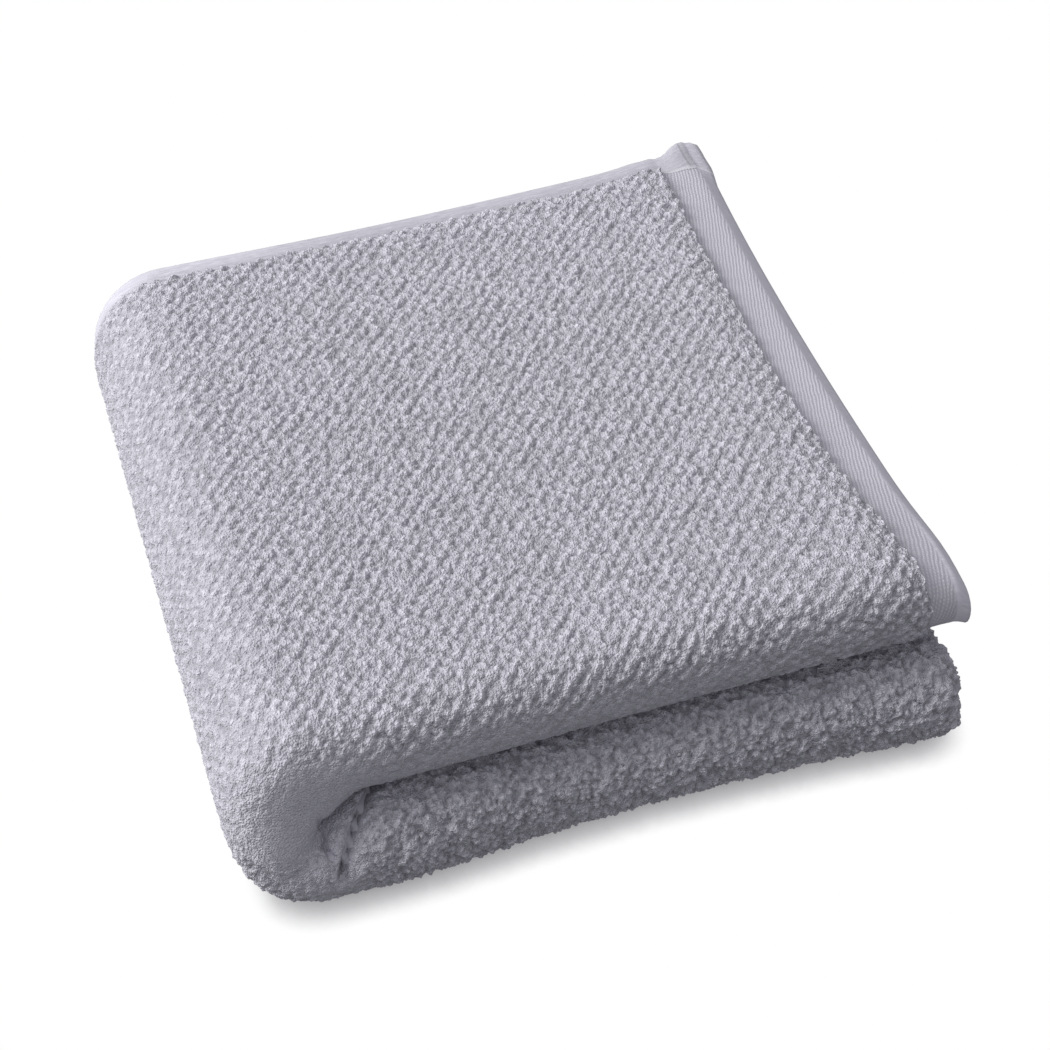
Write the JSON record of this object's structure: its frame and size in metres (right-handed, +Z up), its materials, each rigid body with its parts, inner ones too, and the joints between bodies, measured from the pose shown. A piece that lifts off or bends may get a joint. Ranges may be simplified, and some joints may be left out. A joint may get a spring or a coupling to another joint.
{
  "type": "folded hand towel",
  "caption": "Thick terry hand towel folded into a nearly square pile, with soft front folds, a rounded spine and a flat woven end hem along one edge.",
  "frame": {"origin": "middle of the underside, on the surface that the towel lies on", "axes": "+Z up, +X from the rounded spine towards the end hems, -Y towards the soft front folds"},
  "size_m": [0.2598, 0.2616, 0.0745],
  "materials": {
    "terry": "soft matt cotton terry, light lavender grey, with flat woven hems"
  },
  "bodies": {
    "root": {"towel": "terry"}
  },
  "joints": []
}
